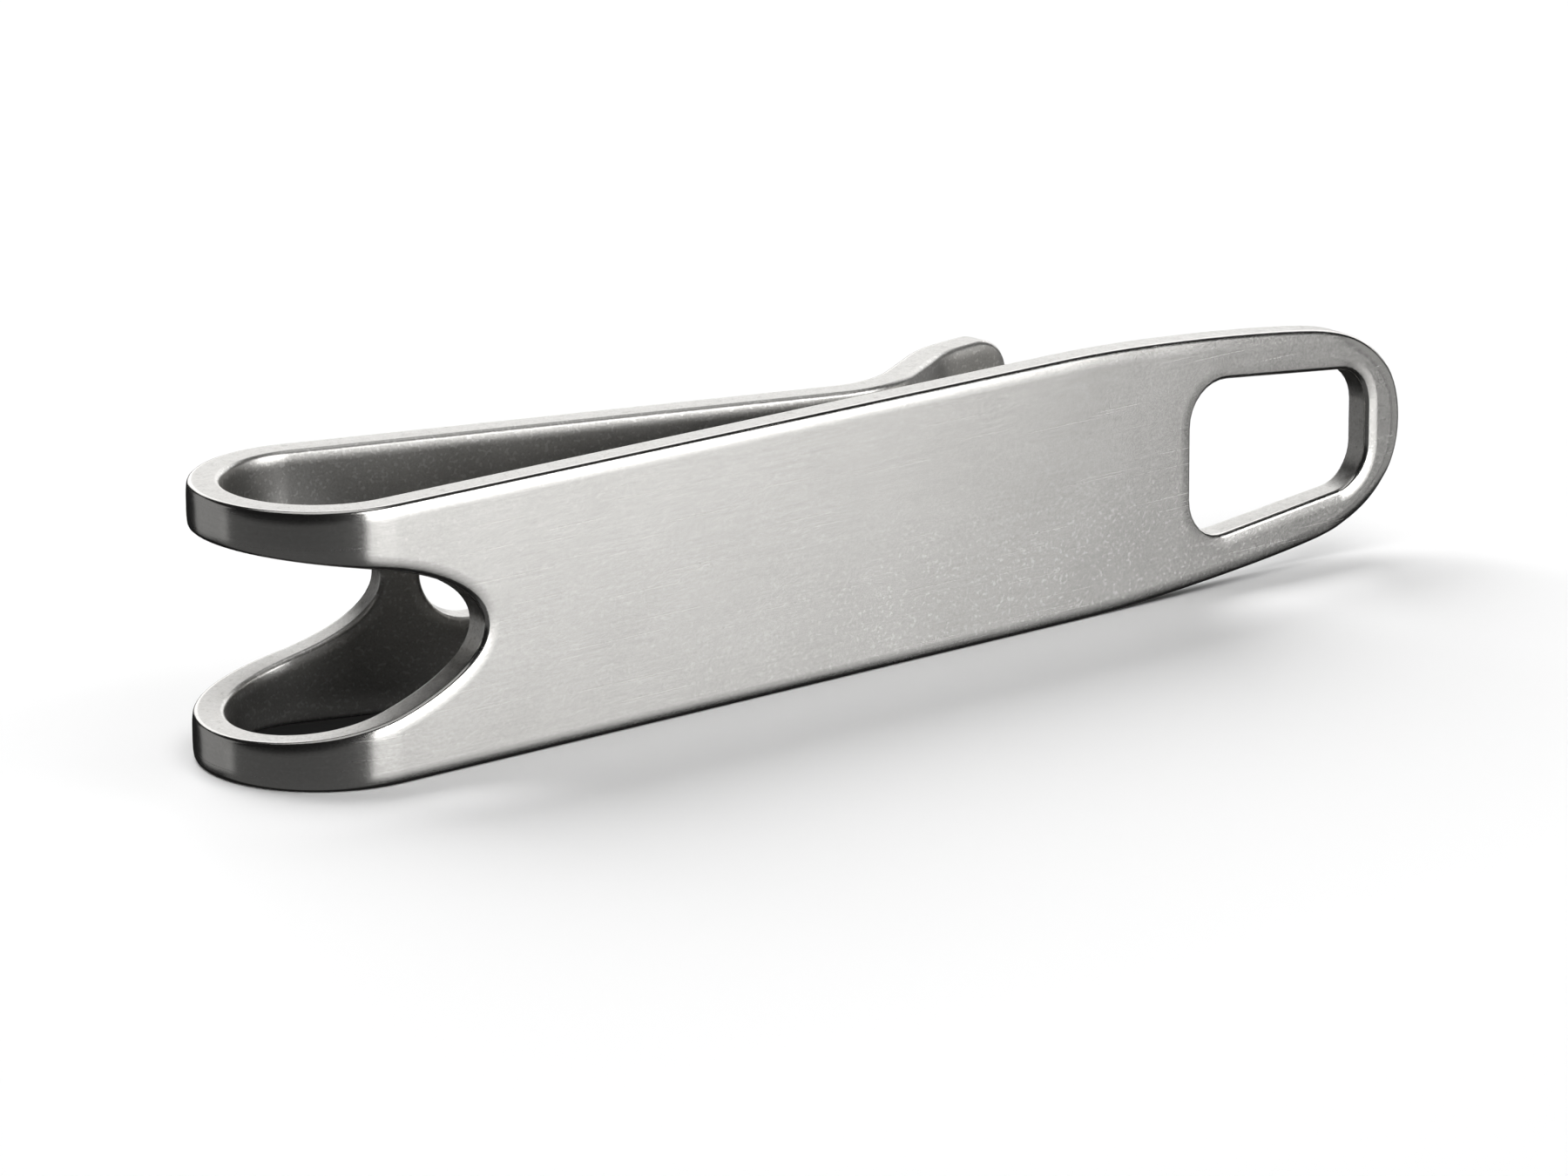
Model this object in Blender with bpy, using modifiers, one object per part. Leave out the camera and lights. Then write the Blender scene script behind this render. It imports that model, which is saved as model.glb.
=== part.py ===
"""A pocket and money clip: one strip of sprung stainless steel, folded back on itself.

The blank is flat and is folded by fold_point. Along the blank, station 0 is the middle of the fold,
positive stations run to the front plate's eye and negative ones to the spring arm's lip.
"""

import math

import bmesh
import bpy
from mathutils import Vector
from mathutils.geometry import interpolate_bezier

MM = 0.001

# Strip
STRIP_WIDTH = 10.0 * MM
STRIP_THICKNESS = 1.2 * MM
EDGE_RADIUS = 0.2 * MM
SECTION_GAP = 0.3 * MM

# Fold
FOLD_OUTER_RADIUS = 4.65 * MM
ARM_ANGLE = math.radians(17.5)

# Slot through the fold, an ellipse on the flat blank
SLOT_HALF_LENGTH = 10.4 * MM
SLOT_HALF_HEIGHT = 3.4 * MM
SLOT_SHIFT = 0.2 * MM

# Front plate, measured from the fold
PLATE_LENGTH = 46.4 * MM
TAPER_LENGTH = 16.4 * MM
NOSE_LENGTH = 3.9 * MM
NOSE_HALF_WIDTH = 4.0 * MM
NOSE_SLOPE = 0.2
NOSE_END_HALF_WIDTH = 2.24 * MM
TAPER_START_HANDLE = 4.6 * MM
TAPER_END_HANDLE = 1.6 * MM
NOSE_START_HANDLE = 2.34 * MM

# Eye, a rounded trapezium
EYE_RIM = 1.7 * MM
EYE_LENGTH = 8.8 * MM
EYE_INNER_HALF_HEIGHT = 3.15 * MM
EYE_OUTER_HALF_HEIGHT = 2.2 * MM
EYE_INNER_CORNER = 1.8 * MM
EYE_OUTER_CORNER = 1.4 * MM

# Spring arm, its round hole and its lip
ARM_REST_GAP = 0.3 * MM
HOLE_RADIUS = 1.8 * MM
HOLE_TO_SLOT = 1.5 * MM
CONTACT_RADIUS = 4.5 * MM
LIP_RISE = math.radians(31)
LIP_RISE_LENGTH = 2.35 * MM
LIP_RADIUS = 4.0 * MM
TIP_RISE = math.radians(8)
TIP_LENGTH = 2.7 * MM
TIP_CORNER = 1.5 * MM

# Mesh fineness
BEND_STEP = math.radians(5)
OUTLINE_STEPS = 14
SLOT_STEPS = 20
EDGE_SEGMENTS = 2
WELD_DISTANCE = 0.0001 * MM
FLAT_ANGLE = math.radians(0.1)
CORNER_ANGLE = math.radians(50)
SMOOTH_ANGLE = math.radians(35)

STEEL_COLOUR = (0.66, 0.65, 0.63, 1.0)
STEEL_ROUGHNESS = 0.32

# Derived places
HALF_WIDTH = STRIP_WIDTH / 2
MIDDLE_RADIUS = FOLD_OUTER_RADIUS - STRIP_THICKNESS / 2
FOLD_ANGLE = math.pi + ARM_ANGLE
FOLD_HALF_LENGTH = MIDDLE_RADIUS * FOLD_ANGLE / 2
LEG_END = FOLD_HALF_LENGTH - SECTION_GAP / 2
PLATE_START = FOLD_HALF_LENGTH + SECTION_GAP / 2
PLATE_END = FOLD_HALF_LENGTH + PLATE_LENGTH
OBJECT_SHIFT = Vector(((FOLD_OUTER_RADIUS - PLATE_LENGTH) / 2, -FOLD_OUTER_RADIUS, HALF_WIDTH))


def clear_scene():
    for obj in list(bpy.data.objects):
        bpy.data.objects.remove(obj, do_unlink=True)


def arm_bends():
    """The arm as (length along the middle of the strip, turn) stretches, from the fold to the tip."""
    start_height = FOLD_OUTER_RADIUS + (FOLD_OUTER_RADIUS - STRIP_THICKNESS) * math.cos(ARM_ANGLE)
    contact_height = STRIP_THICKNESS + ARM_REST_GAP
    bend_drop = CONTACT_RADIUS * (1 - math.cos(ARM_ANGLE))
    straight = (start_height - contact_height - bend_drop) / math.sin(ARM_ANGLE)
    contact_turn = ARM_ANGLE + LIP_RISE
    tip_turn = LIP_RISE - TIP_RISE
    return (
        (straight, 0.0),
        (contact_turn * (CONTACT_RADIUS - STRIP_THICKNESS / 2), contact_turn),
        (LIP_RISE_LENGTH, 0.0),
        (tip_turn * (LIP_RADIUS + STRIP_THICKNESS / 2), -tip_turn),
        (TIP_LENGTH, 0.0),
    )


ARM_LENGTH = sum(length for length, turn in arm_bends())
ARM_END = -FOLD_HALF_LENGTH - ARM_LENGTH


def fold_arc_point(angle, radius):
    """The point at this angle round the fold from the front plate, and at this radius."""
    return Vector((-radius * math.sin(angle), FOLD_OUTER_RADIUS - radius * math.cos(angle)))


def arm_point(distance, outward):
    """The point this far along the arm, and this far outwards from the middle of the strip."""
    place = fold_arc_point(FOLD_ANGLE, MIDDLE_RADIUS)
    heading = -ARM_ANGLE
    for length, turn in arm_bends():
        part = min(distance, length)
        if turn:
            radius = length / turn
            turned = turn * part / length
            centre = place + radius * Vector((-math.sin(heading), math.cos(heading)))
            heading += turned
            place = centre + radius * Vector((math.sin(heading), -math.cos(heading)))
        else:
            place = place + part * Vector((math.cos(heading), math.sin(heading)))
        distance -= part
    return place + outward * Vector((-math.sin(heading), math.cos(heading)))


def fold_point(station, outward, height):
    """A point of the flat blank, folded: outward is from the middle of the strip to its outer face."""
    if station >= FOLD_HALF_LENGTH:
        place = Vector((station - FOLD_HALF_LENGTH, STRIP_THICKNESS / 2 - outward))
    elif station > -FOLD_HALF_LENGTH:
        angle = (FOLD_HALF_LENGTH - station) / MIDDLE_RADIUS
        place = fold_arc_point(angle, MIDDLE_RADIUS + outward)
    else:
        place = arm_point(-FOLD_HALF_LENGTH - station, outward)
    return Vector((place.x, place.y, height)) + OBJECT_SHIFT


def fold_stations(end):
    """Stations from end, round the fold, to as far on its other side."""
    steps = math.ceil(FOLD_ANGLE / BEND_STEP)
    return [end * (1 - 2 * i / steps) for i in range(steps + 1)]


def bend_stations():
    """Where the blank is divided across, so that it can follow its bends."""
    stations = fold_stations(LEG_END)
    start = -FOLD_HALF_LENGTH
    for length, turn in arm_bends():
        steps = max(1, math.ceil(abs(turn) / BEND_STEP))
        stations += [start - length * (i + 1) / steps for i in range(steps)]
        start -= length
    return stations


def arc(centre, radius, start, end, steps=OUTLINE_STEPS):
    """Points on an arc from one angle to another."""
    angles = [start + (end - start) * i / steps for i in range(steps + 1)]
    return [(centre[0] + radius * math.cos(a), centre[1] + radius * math.sin(a)) for a in angles]


def mirrored(upper):
    """A closed outline from its upper side, with a point on the middle line taken once."""
    outline = upper + [(x, -y) for x, y in reversed(upper)]
    return [p for i, p in enumerate(outline) if math.dist(p, outline[i - 1]) > WELD_DISTANCE]


def slot_height(station):
    """Half the slot's height at this station of the blank."""
    share = (station - SLOT_SHIFT) / SLOT_HALF_LENGTH
    return SLOT_HALF_HEIGHT * math.sqrt(max(0.0, 1 - share * share))


def slot_side(start, end):
    """Points along the slot's upper edge between two stations, closer together where it is steep."""
    first, last = (
        math.acos(max(-1.0, min(1.0, (s - SLOT_SHIFT) / SLOT_HALF_LENGTH))) for s in (start, end)
    )
    angles = [first + (last - first) * i / SLOT_STEPS for i in range(SLOT_STEPS + 1)]
    return [
        (SLOT_SHIFT + SLOT_HALF_LENGTH * math.cos(a), SLOT_HALF_HEIGHT * math.sin(a)) for a in angles
    ]


def plate_outline():
    """The front plate's outer edge, from the slot round the nose and back to the slot."""
    taper_start = (PLATE_END - TAPER_LENGTH, HALF_WIDTH)
    nose_start = (PLATE_END - NOSE_LENGTH, NOSE_HALF_WIDTH)
    taper = interpolate_bezier(
        (*taper_start, 0),
        (taper_start[0] + TAPER_START_HANDLE, HALF_WIDTH, 0),
        (nose_start[0] - TAPER_END_HANDLE, NOSE_HALF_WIDTH + TAPER_END_HANDLE * NOSE_SLOPE, 0),
        (*nose_start, 0),
        OUTLINE_STEPS,
    )
    nose = interpolate_bezier(
        (*nose_start, 0),
        (nose_start[0] + NOSE_START_HANDLE, NOSE_HALF_WIDTH - NOSE_START_HANDLE * NOSE_SLOPE, 0),
        (PLATE_END, NOSE_END_HALF_WIDTH, 0),
        (PLATE_END, 0, 0),
        OUTLINE_STEPS,
    )
    slot_end = SLOT_SHIFT + SLOT_HALF_LENGTH
    upper = slot_side(slot_end, PLATE_START)
    upper += [(PLATE_START, HALF_WIDTH)]
    upper += [tuple(p.xy) for p in taper] + [tuple(p.xy) for p in nose[1:]]
    return mirrored(upper)


def eye_outline():
    """The eye, with its four corners rounded."""
    outer = PLATE_END - EYE_RIM
    inner = outer - EYE_LENGTH
    lean = math.atan2(EYE_INNER_HALF_HEIGHT - EYE_OUTER_HALF_HEIGHT, EYE_LENGTH)

    def corner(x, half_height, radius, side):
        tangent = math.tan((math.pi / 2 + side * lean) / 2)
        return (x - side * radius, half_height - radius / tangent)

    inner_centre = corner(inner, EYE_INNER_HALF_HEIGHT, EYE_INNER_CORNER, -1)
    outer_centre = corner(outer, EYE_OUTER_HALF_HEIGHT, EYE_OUTER_CORNER, 1)
    top = math.pi / 2 - lean
    upper = arc(outer_centre, EYE_OUTER_CORNER, 0, top, OUTLINE_STEPS // 2)
    upper += arc(inner_centre, EYE_INNER_CORNER, top, math.pi, OUTLINE_STEPS // 2)
    return mirrored(upper)


def arm_outline():
    """The spring arm's edge, from the slot to its rounded tip and back."""
    slot_end = SLOT_SHIFT - SLOT_HALF_LENGTH
    corner = (ARM_END + TIP_CORNER, HALF_WIDTH - TIP_CORNER)
    upper = slot_side(slot_end, -PLATE_START)
    upper += [(-PLATE_START, HALF_WIDTH)]
    upper += arc(corner, TIP_CORNER, math.pi / 2, math.pi, OUTLINE_STEPS // 2)
    return mirrored(upper)


def hole_outline():
    """The round hole in the spring arm, a short way past the end of the slot."""
    centre = SLOT_SHIFT - SLOT_HALF_LENGTH - HOLE_TO_SLOT - HOLE_RADIUS
    return mirrored(arc((centre, 0), HOLE_RADIUS, 0, math.pi))


def leg_outline(side):
    """One of the two fold legs, above (1) or below (-1) the slot."""
    outline = [(station, slot_height(station)) for station in fold_stations(LEG_END)]
    outline += [(-LEG_END, HALF_WIDTH), (LEG_END, HALF_WIDTH)]
    return [(x, side * y) for x, y in outline]


def blank(name, outlines):
    """A flat plate of the strip's thickness with these outlines, of which the first is the outside."""
    curve = bpy.data.curves.new(name + "_outline", "CURVE")
    curve.dimensions = "2D"
    curve.fill_mode = "BOTH"
    curve.extrude = STRIP_THICKNESS / 2
    for outline in outlines:
        spline = curve.splines.new("POLY")
        spline.points.add(len(outline) - 1)
        for point, (x, y) in zip(spline.points, outline):
            point.co = (x, y, 0, 1)
        spline.use_cyclic_u = True
    holder = bpy.data.objects.new(name + "_outline", curve)
    bpy.context.scene.collection.objects.link(holder)
    graph = bpy.context.evaluated_depsgraph_get()
    mesh = bpy.data.meshes.new_from_object(holder.evaluated_get(graph))
    mesh.name = name
    bpy.data.objects.remove(holder, do_unlink=True)
    bpy.data.curves.remove(curve)
    return mesh


def cut_across(bm, place, direction):
    """Divides the flat blank by a plane, and returns the edges along the cut."""
    everything = bm.verts[:] + bm.edges[:] + bm.faces[:]
    cut = bmesh.ops.bisect_plane(
        bm, geom=everything, dist=WELD_DISTANCE, plane_co=place, plane_no=direction
    )
    return [item for item in cut["geom_cut"] if isinstance(item, bmesh.types.BMEdge)]


def fold_blank(mesh, origin):
    """Divides the flat blank across at its bends, then folds it, in coordinates about origin.

    The blank is first made into faces without holes: one, or one on each side of its middle line.
    """
    bm = bmesh.new()
    bm.from_mesh(mesh)
    bmesh.ops.remove_doubles(bm, verts=bm.verts, dist=WELD_DISTANCE)
    for edge in cut_across(bm, (0, 0, 0), (0, 1, 0)):
        edge.seam = True
    bmesh.ops.dissolve_limit(
        bm, angle_limit=FLAT_ANGLE, verts=bm.verts, edges=bm.edges, delimit={"NORMAL", "SEAM"}
    )
    low = min(v.co.x for v in bm.verts)
    high = max(v.co.x for v in bm.verts)
    for station in bend_stations():
        if low < station < high:
            cut_across(bm, (station, 0, 0), (1, 0, 0))
    for vert in bm.verts:
        vert.co = fold_point(vert.co.x, vert.co.z, vert.co.y) - origin
    bm.to_mesh(mesh)
    bm.free()


def steel():
    material = bpy.data.materials.new("steel")
    material.use_nodes = True
    shader = material.node_tree.nodes["Principled BSDF"]
    shader.inputs["Base Color"].default_value = STEEL_COLOUR
    shader.inputs["Metallic"].default_value = 1.0
    shader.inputs["Roughness"].default_value = STEEL_ROUGHNESS
    return material


def section(name, outlines, origin, collection, parent=None):
    """One section of the folded strip, as its own object with its origin at its joint."""
    mesh = blank(name, outlines)
    fold_blank(mesh, origin)
    mesh.materials.clear()
    material = steel()
    material.name = name + "_steel"
    mesh.materials.append(material)
    obj = bpy.data.objects.new(name, mesh)
    collection.objects.link(obj)
    if parent:
        obj.parent = parent
    else:
        obj.location = origin
    bevel = obj.modifiers.new("tumbled_edges", "BEVEL")
    bevel.width = EDGE_RADIUS
    bevel.segments = EDGE_SEGMENTS
    bevel.limit_method = "ANGLE"
    bevel.angle_limit = CORNER_ANGLE
    bevel.use_clamp_overlap = False
    mesh.shade_smooth()
    mesh.set_sharp_from_angle(angle=SMOOTH_ANGLE)
    return obj


def flex_axis(start_angle, end_angle):
    """Where a stretch of the fold turns about as it flexes: the centroid of its arc."""
    half = (end_angle - start_angle) / 2
    radius = MIDDLE_RADIUS * math.sin(half) / half
    place = fold_arc_point(start_angle + half, radius)
    return Vector((place.x, place.y, 0)) + OBJECT_SHIFT


def joint_empty(name, place, parent, collection):
    empty = bpy.data.objects.new(name, None)
    empty.empty_display_type = "SINGLE_ARROW"
    empty.empty_display_size = STRIP_WIDTH
    collection.objects.link(empty)
    empty.location = place - parent.location if parent else place
    empty.parent = parent
    return empty


def build():
    clear_scene()
    collection = bpy.data.collections.new("pocket_clip")
    bpy.context.scene.collection.children.link(collection)
    front_axis = flex_axis(0, FOLD_ANGLE / 2)
    rear_axis = flex_axis(FOLD_ANGLE / 2, FOLD_ANGLE)
    fold_joint = joint_empty("fold_flex", front_axis, None, collection)
    arm_joint = joint_empty("arm_flex", rear_axis, fold_joint, collection)
    section("front_plate", [plate_outline(), eye_outline()], Vector(), collection)
    section("upper_fold", [leg_outline(1)], front_axis, collection, fold_joint)
    section("lower_fold", [leg_outline(-1)], front_axis, collection, fold_joint)
    section("spring_arm", [arm_outline(), hole_outline()], rear_axis, collection, arm_joint)
    for joint in (fold_joint, arm_joint):
        print(joint.name, "axis at", [round(v / MM, 4) for v in joint.location], "mm from its parent")


build()
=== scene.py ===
import math

import bmesh
import bpy
from mathutils import Matrix, Quaternion, Vector
from mathutils.geometry import interpolate_bezier


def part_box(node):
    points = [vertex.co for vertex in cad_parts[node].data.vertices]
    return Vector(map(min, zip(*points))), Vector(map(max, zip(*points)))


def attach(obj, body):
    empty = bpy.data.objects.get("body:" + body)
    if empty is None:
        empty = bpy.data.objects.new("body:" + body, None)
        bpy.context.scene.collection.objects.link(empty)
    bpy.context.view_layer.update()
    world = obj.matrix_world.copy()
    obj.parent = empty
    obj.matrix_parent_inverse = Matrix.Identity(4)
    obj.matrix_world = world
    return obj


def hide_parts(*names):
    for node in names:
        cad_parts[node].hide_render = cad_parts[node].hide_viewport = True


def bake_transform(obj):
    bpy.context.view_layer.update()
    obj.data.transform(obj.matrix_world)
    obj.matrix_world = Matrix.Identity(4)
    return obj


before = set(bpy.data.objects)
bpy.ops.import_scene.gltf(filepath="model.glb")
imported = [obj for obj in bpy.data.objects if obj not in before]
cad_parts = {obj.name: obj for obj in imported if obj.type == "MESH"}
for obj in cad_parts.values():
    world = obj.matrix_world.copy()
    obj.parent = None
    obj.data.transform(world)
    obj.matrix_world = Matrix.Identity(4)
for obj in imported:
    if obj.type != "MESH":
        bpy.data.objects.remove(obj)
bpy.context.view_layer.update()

mm = 0.001

# The clip is one strip. It is cut and finished flat, in millimetres, and then folded to metres.
# Flat, x runs along the strip from the lip (-) to the eye (+), y runs across it, and +z is its
# outer face.
strip = {
    "width": 10.0,
    "thickness": 1.2,
    "foldRadius": 4.65,      # of the outer face
    "foldTurn": 197.5,       # degrees, from the plate round to the arm
    "foldStep": 2.0,         # degrees between the cuts that let it bend
    "weld": 0.004,
    "flat": 0.001,           # radians, under which faces count as one
}
plate = {
    "length": 46.4,
    "taperLength": 16.4,
    "taperHandles": (4.6, 1.6),
    "noseLength": 3.9,
    "noseHalfWidth": 4.0,
    "noseSlope": 0.2,
    "noseHandles": (2.34, 2.24),
    "taperSteps": 14,
    "noseSteps": 18,
}
eye = {
    "rim": 1.7,
    "length": 8.8,
    "halfHeights": (3.15, 2.2),   # at the inner and the outer end
    "corners": (1.8, 1.4),
    "steps": 8,
    "wearStart": 0.35,            # share of its length where its lower side starts to be worn
}
slot = {"halfLength": 10.4, "halfHeight": 3.4, "shift": 0.2, "steps": 144}
hole = {"radius": 1.8, "toSlot": 1.5, "steps": 64}
arm = {
    "restGap": 0.3,
    "contactRadius": 4.5,
    "lipRise": 31.0,
    "riseLength": 2.35,
    "lipRadius": 4.0,
    "tipRise": 8.0,
    "tipLength": 2.7,
    "tipCorner": 1.5,
    "steps": 7,
}
edges = {
    "radius": 0.13,
    "segments": 3,
    "rings": (0.0, 0.17, 0.27, 0.39, 0.54),   # distances from the edge
    "slope": 0.36,
    "outerWear": 0.55,
    "innerWear": 0.9,
    "eyeWear": 0.12,
    "faceSlope": 0.9,         # how far up or down a normal points on a face
    "corner": 45.0,           # degrees, from which an edge is rounded
}

middle = strip["foldRadius"] - strip["thickness"] / 2
foldLength = middle * math.radians(strip["foldTurn"])
plateEnd = foldLength / 2 + plate["length"]
half = strip["width"] / 2
skin = strip["thickness"] / 2


def armStretches():
    # (length along the middle of the strip, turn) from the fold to the tip of the lip
    tilt = math.radians(strip["foldTurn"] - 180)
    start = strip["foldRadius"] + (middle - skin) * math.cos(tilt)
    contact = strip["thickness"] + arm["restGap"] + arm["contactRadius"] * (1 - math.cos(tilt))
    contactTurn = tilt + math.radians(arm["lipRise"])
    tipTurn = math.radians(arm["lipRise"] - arm["tipRise"])
    return [
        ((start - contact) / math.sin(tilt), 0.0),
        (contactTurn * (arm["contactRadius"] - skin), -contactTurn),
        (arm["riseLength"], 0.0),
        (tipTurn * (arm["lipRadius"] + skin), tipTurn),
        (arm["tipLength"], 0.0),
    ]


stretches = [(foldLength, math.radians(strip["foldTurn"]))] + armStretches()
armEnd = foldLength / 2 - sum(length for length, turn in stretches)


def outwardAt(angle):
    return Vector((-math.sin(angle), -math.cos(angle)))


def onwardAt(angle):
    return Vector((-math.cos(angle), math.sin(angle)))


def followStrip(station):
    # where the middle of the strip is, which way it faces and how sharply it bends there
    distance = foldLength / 2 - station
    place, angle, bend = Vector((0.0, skin)), 0.0, 0.0
    if distance <= 0:
        return place + distance * onwardAt(angle), angle, bend
    for length, turn in stretches:
        part = min(distance, length)
        bend = turn / length
        if turn:
            centre = place - outwardAt(angle) / bend
            angle += part * bend
            place = centre + outwardAt(angle) / bend
        else:
            place = place + part * onwardAt(angle)
        distance -= part
        if distance <= 0:
            break
    return place, angle, bend


# the plate's outer face where it meets the fold, in millimetres
foldCorner = Vector((
    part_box("upper_fold")[0].x / mm + strip["foldRadius"],
    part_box("front_plate")[0].y / mm,
    half,
))


def folded(point):
    place, angle, bend = followStrip(point.x)
    place = place + point.z * outwardAt(angle)
    return (Vector((place.x, place.y, point.y)) + foldCorner) * mm


def foldedNormal(point, normal):
    place, angle, bend = followStrip(point.x)
    across = -onwardAt(angle) * normal.x / (1 + point.z * bend) + outwardAt(angle) * normal.z
    return Vector((across.x, across.y, normal.y)).normalized()


def activate(obj):
    bpy.ops.object.select_all(action="DESELECT")
    obj.select_set(True)
    bpy.context.view_layer.objects.active = obj


def edit(obj):
    activate(obj)
    bpy.ops.object.mode_set(mode="EDIT")
    bpy.ops.mesh.select_all(action="SELECT")


def leaveEdit():
    bpy.ops.object.mode_set(mode="OBJECT")


def pick(obj, kind, wanted):
    # selects the vertices, edges or faces for which wanted() is true
    bpy.ops.mesh.select_mode(type=kind)
    bpy.ops.mesh.select_all(action="DESELECT")
    shape = bmesh.from_edit_mesh(obj.data)
    items = {"VERT": shape.verts, "EDGE": shape.edges, "FACE": shape.faces}[kind]
    for item in items:
        if wanted(item):
            item.select_set(True)
    shape.select_flush_mode()
    bmesh.update_edit_mesh(obj.data)


def upright(edge):
    first, second = (vert.co for vert in edge.verts)
    return abs(first.x - second.x) + abs(first.y - second.y) < strip["weld"]


def edgeAt(edge, x):
    return upright(edge) and abs(edge.verts[0].co.x - x) < strip["weld"]


def bisectAll(obj, x, **clear):
    bpy.ops.mesh.select_all(action="SELECT")
    bpy.ops.mesh.bisect(
        plane_co=(x, 0, 0), plane_no=(1, 0, 0), threshold=strip["weld"] / 10, **clear
    )


def addBox(name, low, high):
    centre = [(a + b) / 2 for a, b in zip(low, high)]
    size = [b - a for a, b in zip(low, high)]
    bpy.ops.object.select_all(action="DESELECT")
    bpy.ops.mesh.primitive_cube_add(size=1, location=centre, scale=size)
    obj = bpy.context.object
    obj.name = name
    bpy.ops.object.transform_apply(location=True, rotation=True, scale=True)
    return obj


def noseOutline():
    # (station, half width) down the taper and round the nose
    taperStart = (plateEnd - plate["taperLength"], half)
    noseStart = (plateEnd - plate["noseLength"], plate["noseHalfWidth"])
    slope = plate["noseSlope"]
    first, second = plate["taperHandles"]
    taper = interpolate_bezier(
        (*taperStart, 0),
        (taperStart[0] + first, half, 0),
        (noseStart[0] - second, noseStart[1] + second * slope, 0),
        (*noseStart, 0),
        plate["taperSteps"],
    )
    first, second = plate["noseHandles"]
    nose = interpolate_bezier(
        (*noseStart, 0),
        (noseStart[0] + first, noseStart[1] - first * slope, 0),
        (plateEnd, second, 0),
        (plateEnd, 0, 0),
        plate["noseSteps"],
    )
    return [(point.x, point.y) for point in taper[:-1] + nose]


def shapeEnds(obj):
    edit(obj)
    pick(obj, "EDGE", lambda edge: edgeAt(edge, armEnd))
    bpy.ops.mesh.bevel(offset=arm["tipCorner"], segments=arm["steps"] * 2, affect="EDGES")
    outline = noseOutline()
    for x, halfWidth in outline[:-1]:
        bisectAll(obj, x)
    for x, halfWidth in outline:
        pick(obj, "VERT", lambda vert: abs(vert.co.x - x) < strip["weld"])
        bpy.ops.transform.resize(value=(1, halfWidth / half, 1), center_override=(x, 0, 0))
    bpy.ops.mesh.select_all(action="SELECT")
    bpy.ops.mesh.remove_doubles(threshold=strip["weld"])
    leaveEdit()


def cutWith(body, cutter):
    activate(body)
    cut = body.modifiers.new("cut", "BOOLEAN")
    cut.object = cutter
    bpy.ops.object.modifier_apply(modifier=cut.name)
    bpy.data.objects.remove(cutter, do_unlink=True)


def roundCutter(x, halfLength, halfHeight, steps):
    bpy.ops.object.select_all(action="DESELECT")
    bpy.ops.mesh.primitive_cylinder_add(
        vertices=steps, radius=1, depth=4 * strip["thickness"],
        location=(x, 0, 0), scale=(halfLength, halfHeight, 1),
    )
    bpy.ops.object.transform_apply(location=True, rotation=True, scale=True)
    return bpy.context.object


def eyeCutter():
    outer = plateEnd - eye["rim"]
    inner = outer - eye["length"]
    innerHalf, outerHalf = eye["halfHeights"]
    deep = 2 * strip["thickness"]
    cutter = addBox("eyeCutter", (inner, -innerHalf, -deep), (outer, innerHalf, deep))
    edit(cutter)
    pick(cutter, "VERT", lambda vert: vert.co.x > outer - strip["weld"])
    bpy.ops.transform.resize(value=(1, outerHalf / innerHalf, 1), center_override=(outer, 0, 0))
    for x, corner in zip((inner, outer), eye["corners"]):
        pick(cutter, "EDGE", lambda edge: edgeAt(edge, x))
        bpy.ops.mesh.bevel(offset=corner, segments=eye["steps"], affect="EDGES")
    leaveEdit()
    return cutter


def smoothStep(value, low, high):
    share = min(1.0, max(0.0, (value - low) / (high - low)))
    return share * share * (3 - 2 * share)


def wearAt(place, side):
    # a hanging ring wears the eye's outer end and the lower side next to it
    outer = plateEnd - eye["rim"]
    inner = outer - eye["length"]
    reach = edges["rings"][-1]
    across = abs(place.y) < eye["halfHeights"][0] + reach
    if across and inner - reach < place.x < outer + 2 * reach:
        start = outer - eye["corners"][1]
        if place.y < 0:
            start = inner + eye["length"] * eye["wearStart"]
        return edges["eyeWear"] + (1 - edges["eyeWear"]) * smoothStep(place.x, start, outer)
    return edges["outerWear"] if side > 0 else edges["innerWear"]


def roundFaces(obj):
    # rings of faces beside every edge are lowered towards it, so both faces fall off softly
    reach = edges["rings"][-1]
    edit(obj)
    for side in (1, -1):
        pick(obj, "FACE", lambda face: face.normal.z * side > edges["faceSlope"])
        for index, (near, far) in enumerate(zip(edges["rings"], edges["rings"][1:])):
            bpy.ops.mesh.inset(thickness=far - near, use_even_offset=True)
            shape = bmesh.from_edit_mesh(obj.data)
            ring = shape.verts.layers.int.get("ring") or shape.verts.layers.int.new("ring")
            for face in [face for face in shape.faces if face.select]:
                for vert in face.verts:
                    vert[ring] = index + 1
            bmesh.update_edit_mesh(obj.data)
    shape = bmesh.from_edit_mesh(obj.data)
    ring = shape.verts.layers.int["ring"]
    for vert in shape.verts:
        side = 1 if vert.co.z > 0 else -1
        away = reach - edges["rings"][vert[ring]]
        fall = edges["slope"] * away * away / (2 * reach)
        vert.co.z -= side * fall * wearAt(vert.co, side)
    bmesh.update_edit_mesh(obj.data)
    leaveEdit()
    activate(obj)
    bevel = obj.modifiers.new("tumbled", "BEVEL")
    bevel.width = edges["radius"]
    bevel.segments = edges["segments"]
    bevel.limit_method = "ANGLE"
    bevel.angle_limit = math.radians(edges["corner"])
    bevel.use_clamp_overlap = False
    bpy.ops.object.modifier_apply(modifier=bevel.name)


def bendStations():
    stations, start = [], foldLength / 2
    for length, turn in stretches:
        steps = max(1, math.ceil(abs(math.degrees(turn)) / strip["foldStep"] / 2) * 2)
        stations += [start - length * i / steps for i in range(steps + 1)]
        start -= length
    return stations[:-1]


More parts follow.
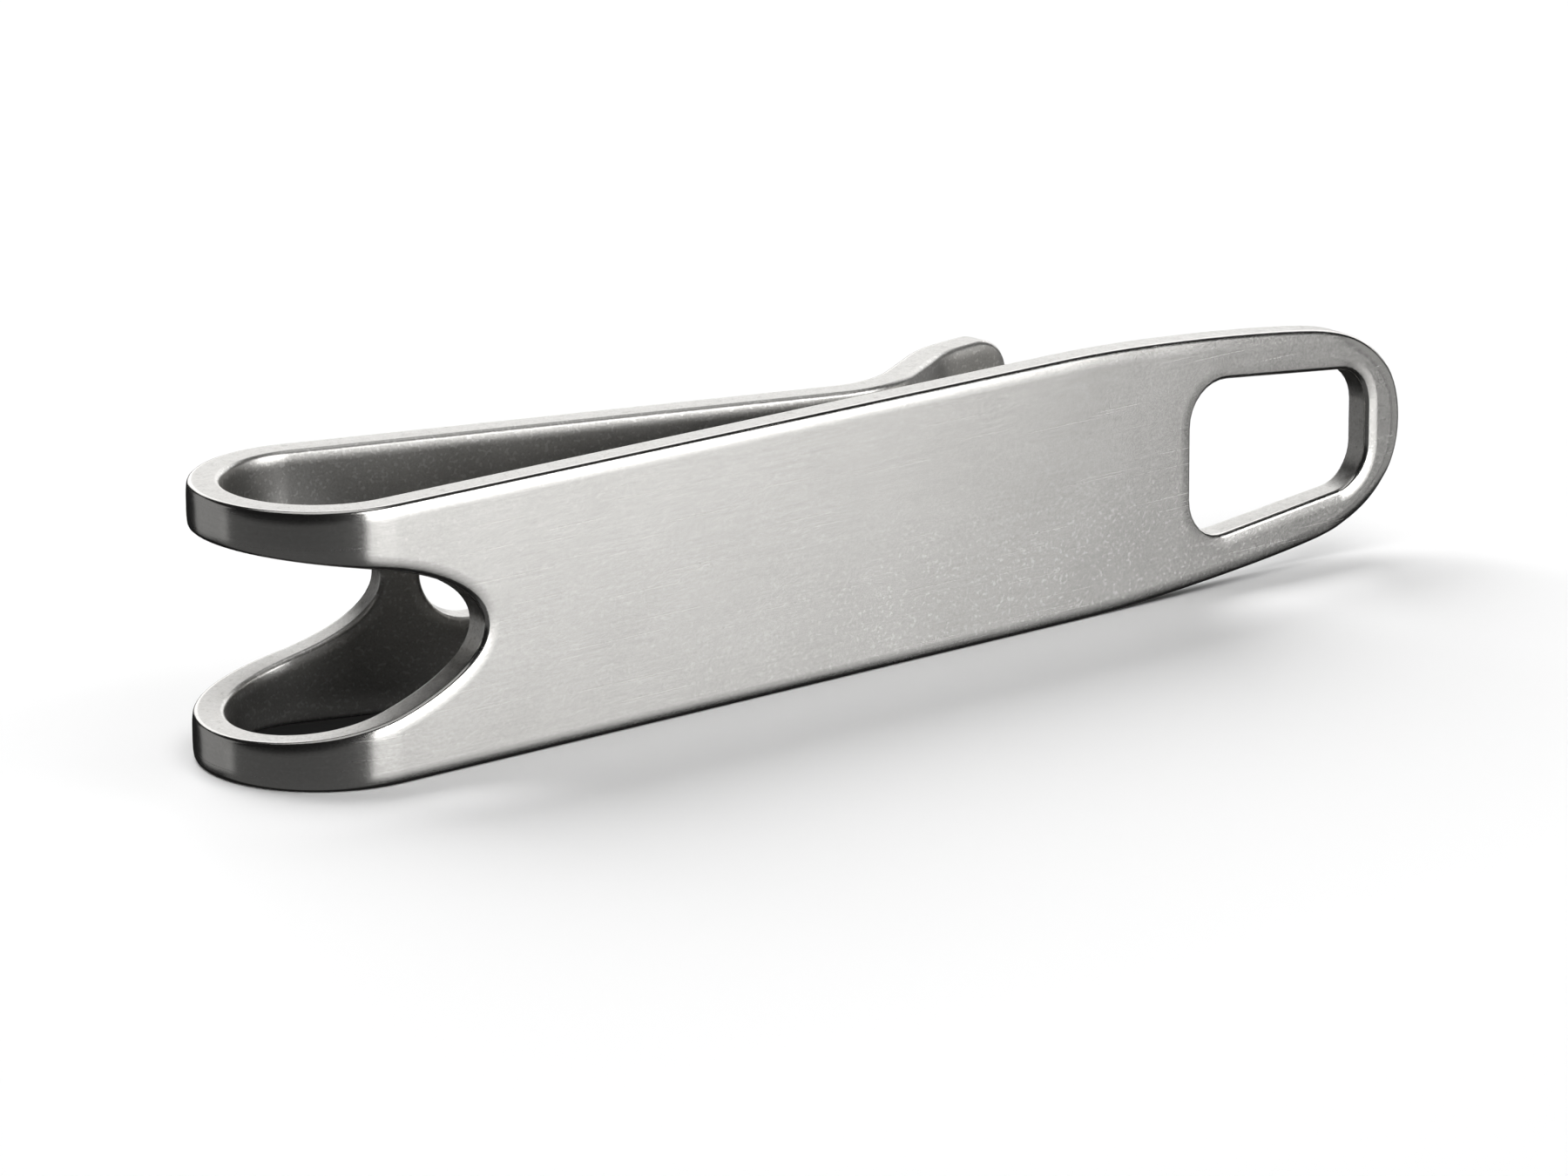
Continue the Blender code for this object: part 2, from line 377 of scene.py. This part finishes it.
def makeBlank():
    blank = addBox("blank", (armEnd, -half, -skin), (plateEnd, half, skin))
    shapeEnds(blank)
    slotCutter = roundCutter(
        slot["shift"], slot["halfLength"], slot["halfHeight"], slot["steps"]
    )
    cutWith(blank, slotCutter)
    holeX = slot["shift"] - slot["halfLength"] - hole["toSlot"] - hole["radius"]
    cutWith(blank, roundCutter(holeX, hole["radius"], hole["radius"], hole["steps"]))
    cutWith(blank, eyeCutter())
    edit(blank)
    bpy.ops.mesh.remove_doubles(threshold=strip["weld"])
    bpy.ops.mesh.bisect(plane_co=(0, 0, 0), plane_no=(0, 1, 0), threshold=strip["weld"] / 10)
    bpy.ops.mesh.mark_seam()    # two faces a side, so that neither has a hole in it
    bpy.ops.mesh.select_all(action="SELECT")
    bpy.ops.mesh.dissolve_limited(angle_limit=strip["flat"], delimit={"NORMAL", "SEAM"})
    leaveEdit()
    roundFaces(blank)
    edit(blank)
    for station in bendStations():
        bisectAll(blank, station)
    leaveEdit()
    mesh = blank.data
    mesh.shade_smooth()
    weigh = blank.modifiers.new("weigh", "WEIGHTED_NORMAL")
    weigh.mode = "FACE_AREA"
    bpy.ops.object.modifier_apply(modifier=weigh.name)
    kept = mesh.attributes.new("flatNormal", "FLOAT_VECTOR", "CORNER")
    for item, normal in zip(kept.data, mesh.corner_normals):
        item.vector = normal.vector
    print("blank finished flat:", len(mesh.polygons), "faces")
    return blank


def takePiece(blank, name, start, end, side=0):
    # one stretch of the blank between two stations, closed at its ends and folded
    mesh = blank.data.copy()
    mesh.name = name
    obj = bpy.data.objects.new(name, mesh)
    bpy.context.scene.collection.objects.link(obj)
    edit(obj)
    bisectAll(obj, start, clear_inner=True, use_fill=True)
    bisectAll(obj, end, clear_outer=True, use_fill=True)
    if side:
        pick(obj, "VERT", lambda vert: vert.co.y * side < 0)
        bpy.ops.mesh.delete(type="VERT")
    leaveEdit()
    flat = [vert.co.copy() for vert in mesh.vertices]
    normals = [item.vector.copy() for item in mesh.attributes["flatNormal"].data]
    for face in mesh.polygons:
        stations = [flat[index].x for index in face.vertices]
        for limit, way in ((start, -1), (end, 1)):
            if all(abs(x - limit) < strip["weld"] for x in stations):
                for loop in face.loop_indices:
                    normals[loop] = Vector((way, 0, 0))
    turned = [
        foldedNormal(flat[loop.vertex_index], normals[loop.index]) for loop in mesh.loops
    ]
    kept = mesh.attributes.new("blank", "FLOAT_VECTOR", "POINT")
    for item, vert in zip(kept.data, mesh.vertices):
        item.vector = vert.co
        vert.co = folded(vert.co)
    for leftover in ("flatNormal", "ring"):
        mesh.attributes.remove(mesh.attributes[leftover])
    mesh.shade_smooth()
    mesh.normals_split_custom_set(turned)
    print(name, len(mesh.polygons), "faces")
    return obj


class Signal:
    # one socket, so that shader maths reads as an expression
    def __init__(self, recipe, socket):
        self.recipe, self.socket = recipe, socket

    def combine(self, operation, first, second):
        return self.recipe.add("ShaderNodeMath", {"operation": operation}, {0: first, 1: second})

    def __add__(self, other):
        return self.combine("ADD", self, other)

    def __radd__(self, other):
        return self.combine("ADD", other, self)

    def __sub__(self, other):
        return self.combine("SUBTRACT", self, other)

    def __rsub__(self, other):
        return self.combine("SUBTRACT", other, self)

    def __mul__(self, other):
        return self.combine("MULTIPLY", self, other)

    def __rmul__(self, other):
        return self.combine("MULTIPLY", other, self)

class Recipe:
    # the nodes of one material
    def __init__(self, name):
        self.material = bpy.data.materials.new(name)
        self.material.use_nodes = True
        self.tree = self.material.node_tree
        self.shader = self.tree.nodes["Principled BSDF"]

    def add(self, kind, settings, inputs, output=0):
        node = self.tree.nodes.new(kind)
        for name, value in settings.items():
            if name == "stops":
                ramp = node.color_ramp
                while len(ramp.elements) < len(value):
                    ramp.elements.new(0.5)
                for element, (position, level) in zip(ramp.elements, value):
                    element.position = position
                    element.color = (level, level, level, 1)
            else:
                setattr(node, name, value)
        for name, value in inputs.items():
            self.feed(node.inputs[name], value)
        return Signal(self, node.outputs[output])

    def feed(self, socket, value):
        if isinstance(value, Signal):
            self.tree.links.new(value.socket, socket)
        else:
            socket.default_value = value

    def set(self, **inputs):
        for name, value in inputs.items():
            self.feed(self.shader.inputs[name.replace("_", " ")], value)


steel = {
    "bright": (0.80, 0.79, 0.77, 1),
    "dull": (0.46, 0.45, 0.43, 1),
    "faceRoughness": 0.20,
    "innerRoughness": 0.34,
    "edgeRoughness": 0.42,
    "faceFrom": (0.36, 0.44),     # mm from the middle of the strip, where an edge becomes a face
    "grain": 12.0,                # per mm, as the other scales are
    "coarse": 5.0,
    "speck": 7.2,
    "speckLevels": (0.62, 0.74),
    "brush": (0.5, 16.0, 16.0),   # along, across and through the strip
    "cloud": 0.3,
    "mottle": 2.4,
    "pits": 4.5,
    "pitLevels": (0.60, 0.70),
    "scratch": (0.16, 26.0, 26.0),
    "scratchTurn": 38.0,          # degrees
    "nicks": (0.78, 0.82),
    "speckCornerAlong": (14.0, 42.0),  # the plate's lower corner towards the eye, with lighter specks
    "speckCornerAcross": (1.5, -3.0),
    "relief": 0.004,              # mm
    "bump": 0.5,
}


def satinSteel():
    recipe = Recipe("satinSteel")
    add = recipe.add
    flat = add("ShaderNodeAttribute", {"attribute_name": "blank"}, {}, 1)

    def ramp(value, low, high):
        return add("ShaderNodeMapRange", {"interpolation_type": "SMOOTHSTEP"},
                   {"Value": value, "From Min": low, "From Max": high})

    def noise(scale, detail, stretch=(1, 1, 1), turn=0.0):
        place = add("ShaderNodeMapping", {},
                    {"Vector": flat, "Scale": stretch, "Rotation": (0, 0, turn)})
        return add("ShaderNodeTexNoise", {},
                   {"Vector": place, "Scale": scale, "Detail": detail, "Roughness": 0.6})

    split = recipe.tree.nodes.new("ShaderNodeSeparateXYZ")
    recipe.feed(split.inputs[0], flat)
    along, height, outward = (Signal(recipe, socket) for socket in split.outputs)
    faceLow, faceHigh = steel["faceFrom"]
    outerFace = ramp(outward, faceLow, faceHigh)
    innerFace = ramp(outward, -faceLow, -faceHigh)
    edge = 1 - outerFace - innerFace

    grain = noise(steel["grain"], 2.0)
    coarse = noise(steel["coarse"], 1.0)
    speck = ramp(noise(steel["speck"], 0.0), *steel["speckLevels"])
    brush = noise(1.0, 3.0, steel["brush"])
    cloud = noise(steel["cloud"], 2.0)
    mottle = noise(steel["mottle"], 3.0)
    pits = ramp(noise(steel["pits"], 2.0), *steel["pitLevels"])
    streaks = noise(1.0, 0.0, steel["scratch"], math.radians(steel["scratchTurn"]))
    scratch = ramp(streaks, *steel["nicks"])
    # lighter, larger specks and coarser tone on the plate's lower side towards the eye
    speckCorner = (ramp(along, *steel["speckCornerAlong"]) * ramp(height, *steel["speckCornerAcross"])
              * outerFace)

    shade = (0.5 + (cloud - 0.5) * 0.22 + (grain - 0.5) * (0.35 + 0.5 * innerFace)
             + (brush - 0.5) * 0.24 * outerFace + (coarse - 0.5) * (0.16 + 0.12 * speckCorner)
             + speck * (0.08 + 0.22 * speckCorner + 0.5 * innerFace)
             + edge * ((mottle - 0.5) * 1.4 + (grain - 0.5) * 0.6 - pits * 0.32))
    colour = add("ShaderNodeMix", {"data_type": "RGBA"},
                 {0: shade, 6: steel["dull"], 7: steel["bright"]}, 2)
    roughness = (outerFace * steel["faceRoughness"] + innerFace * steel["innerRoughness"]
                 + edge * steel["edgeRoughness"] + (grain - 0.5) * 0.12 + (cloud - 0.5) * 0.05
                 + (mottle - 0.5) * 0.25 * edge + scratch * 0.08)
    relief = (grain * (0.35 + 1.1 * innerFace + 0.6 * edge) + coarse * 1.4 * innerFace
              + brush * 0.2 * outerFace + speck * 0.08 * speckCorner
              + (mottle * 1.6 - pits * 0.7) * edge - scratch * 0.2)
    bump = add("ShaderNodeBump", {},
               {"Strength": steel["bump"], "Distance": steel["relief"] * mm, "Height": relief})
    recipe.set(Base_Color=colour, Roughness=roughness, Metallic=1.0, Normal=bump)
    return recipe.material


blank = makeBlank()
edgeOfPlate = foldLength / 2
past = 1.0      # mm past the strip's ends, so that a cut there takes nothing away
steelMaterial = satinSteel()
foldCentre = folded(Vector((0, 0, -middle)))
foldCentre.z = half * mm

plateObject = takePiece(blank, "plate", edgeOfPlate, plateEnd + past)
armObject = takePiece(blank, "arm", armEnd - past, -edgeOfPlate)
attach(plateObject, "front")
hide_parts("front_plate")
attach(armObject, "arm")
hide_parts("spring_arm")
pieces = [plateObject, armObject]
for side, legName, node in ((1, "upperLeg", "upper_fold"), (-1, "lowerLeg", "lower_fold")):
    front = takePiece(blank, legName + "Front", 0, edgeOfPlate, side)
    rear = takePiece(blank, legName + "Rear", -edgeOfPlate, 0, side)
    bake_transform(front)
    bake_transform(rear)
    for leg in (front, rear):
        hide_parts(node)
    pieces += [front, rear]
for piece in pieces:
    piece.data.materials.clear()
    piece.data.materials.append(steelMaterial)
bpy.data.objects.remove(blank, do_unlink=True)
print("strip folded into", len(pieces), "pieces")


camera = {
    "aim": (-10.29, -12.35, 6.79),   # mm
    "distance": 272.5,
    "yaw": 51.59,
    "pitch": 16.49,
    "roll": 0.34,
    "lens": 182.8,
    "clip": (0.01, 20.0),            # m
}


def direction(yaw, pitch):
    yaw, pitch = math.radians(yaw), math.radians(pitch)
    level = math.cos(pitch)
    return Vector((math.cos(yaw) * level, math.sin(yaw) * level, math.sin(pitch)))


def placeCamera():
    looking = direction(camera["yaw"], -camera["pitch"])
    data = bpy.data.cameras.new("camera")
    data.lens = camera["lens"]
    data.clip_start, data.clip_end = camera["clip"]
    obj = bpy.data.objects.new("camera", data)
    bpy.context.scene.collection.objects.link(obj)
    turn = Quaternion(looking, math.radians(camera["roll"])) @ looking.to_track_quat("-Z", "Y")
    place = (Vector(camera["aim"]) - camera["distance"] * looking) * mm
    obj.matrix_world = Matrix.Translation(place) @ turn.to_matrix().to_4x4()
    bpy.context.scene.camera = obj


def panel(name, yaw, pitch, distance, size, radiance, lights):
    # an area light facing the clip
    way = direction(yaw, pitch)
    data = bpy.data.lights.new(name, "AREA")
    data.shape = "RECTANGLE"
    data.size, data.size_y = size
    data.energy = radiance * math.pi * size[0] * size[1]
    obj = bpy.data.objects.new(name, data)
    bpy.context.scene.collection.objects.link(obj)
    obj.location = way * distance + Vector((0, 0, half * mm))
    obj.rotation_mode = "QUATERNION"
    obj.rotation_quaternion = (-way).to_track_quat("-Z", "Y")
    obj.visible_camera = False
    obj.visible_glossy = lights == "glossy"
    obj.visible_diffuse = lights == "diffuse"


# yaw and pitch in degrees, distance and size in metres, radiance, and what it lights:
# the steel mirrors the first ones, and the last two throw the shadows on the floor
panels = {
    "frontLow": (-67.7, -21.5, 0.9, (0.60, 0.14), 0.72, "glossy"),
    "frontBox": (-67.7, -13, 0.9, (0.60, 0.13), 1.26, "glossy"),
    "frontTop": (-69.4, 14, 0.9, (0.58, 0.76), 4.6, "glossy"),
    "noseFill": (-32, -8, 0.9, (0.32, 0.5), 0.38, "glossy"),
    "rightFill": (12, -8, 0.9, (1.0, 0.5), 0.10, "glossy"),
    "rearFill": (124, 2, 1.0, (0.9, 0.9), 0.28, "glossy"),
    "rearLow": (33, -16, 1.0, (0.8, 0.42), 0.4, "glossy"),
    "topFill": (0, 90, 1.0, (0.9, 0.9), 0.8, "glossy"),
    "backdrop": (42, 22, 1.1, (1.7, 0.8), 1.55, "glossy"),
    "underGlow": (-150, -40, 1.2, (5.0, 1.3), 0.085, "glossy"),
    "backLight": (84, 40, 3.0, (2.6, 2.6), 5.0, "diffuse"),
    "overhead": (-80, 72, 3.0, (3.0, 3.0), 2.2, "diffuse"),
}
room = {"mirrored": 0.012, "seen": 1.0}    # how bright the room is to the steel and to the camera


def lightStudio():
    for name, values in panels.items():
        panel(name, *values)
    world = bpy.data.worlds.new("world")
    bpy.context.scene.world = world
    world.use_nodes = True
    tree = world.node_tree
    walls = tree.nodes["Background"]
    walls.inputs["Color"].default_value = (*[room["mirrored"]] * 3, 1)
    paper = tree.nodes.new("ShaderNodeBackground")
    paper.inputs["Color"].default_value = (*[room["seen"]] * 3, 1)
    seen = tree.nodes.new("ShaderNodeLightPath")
    mix = tree.nodes.new("ShaderNodeMixShader")
    tree.links.new(seen.outputs["Is Camera Ray"], mix.inputs[0])
    tree.links.new(walls.outputs[0], mix.inputs[1])
    tree.links.new(paper.outputs[0], mix.inputs[2])
    tree.links.new(mix.outputs[0], tree.nodes["World Output"].inputs["Surface"])
    bpy.context.scene.view_settings.view_transform = "Standard"


sheet = {"size": 8.0, "white": 0.9, "roughness": 0.9}    # the floor, in metres


def layFloor():
    bpy.ops.object.select_all(action="DESELECT")
    bpy.ops.mesh.primitive_plane_add(size=sheet["size"])
    floor = bpy.context.object
    floor.name = "floor"
    recipe = Recipe("whiteFloor")
    recipe.set(Base_Color=(*[sheet["white"]] * 3, 1), Roughness=sheet["roughness"])
    recipe.shader.inputs["Specular IOR Level"].default_value = 0.0
    floor.data.materials.append(recipe.material)
    floor.visible_glossy = False
    floor.visible_shadow = False


# painted shade on the floor inside the clip, darkest at the fold
inside = {
    "lift": 0.02,           # mm above the floor
    "reach": (4.0, 15.0),   # mm from the fold's centre, between which the shade fades
    # colours of the painted shade, near the fold and far from it
    "levels": (0.03, 0.7),
}


def shadeInside():
    # painted shade: a dark sheet on the floor between the plate and the arm, where the walls let
    # little light in
    contact = foldLength / 2 - sum(length for length, turn in stretches[:2])
    low = -half + inside["lift"]
    ring = [folded(Vector((x, low, 0))) for x in bendStations() if x > contact]
    ring.append(folded(Vector((foldLength + stretches[1][0], low, 0))))
    mesh = bpy.data.meshes.new("insideShade")
    mesh.from_pydata(ring, [], [range(len(ring))])
    obj = bpy.data.objects.new("insideShade", mesh)
    bpy.context.scene.collection.objects.link(obj)
    recipe = Recipe("paintedShadeFloor")
    place = recipe.add("ShaderNodeTexCoord", {}, {}, 3)
    away = recipe.add("ShaderNodeVectorMath", {"operation": "DISTANCE"},
                      {0: place, 1: foldCentre * Vector((1, 1, 0))}, 1)
    (near, far), (dark, light) = inside["reach"], inside["levels"]
    level = recipe.add("ShaderNodeMapRange", {"interpolation_type": "SMOOTHSTEP"},
                       {"Value": away, "From Min": near * mm, "From Max": far * mm,
                        "To Min": dark, "To Max": light})
    recipe.set(Base_Color=level, Roughness=1.0)
    recipe.shader.inputs["Specular IOR Level"].default_value = 0.0
    mesh.materials.append(recipe.material)
    obj.visible_shadow = False


placeCamera()
lightStudio()
layFloor()
shadeInside()
print("studio set")
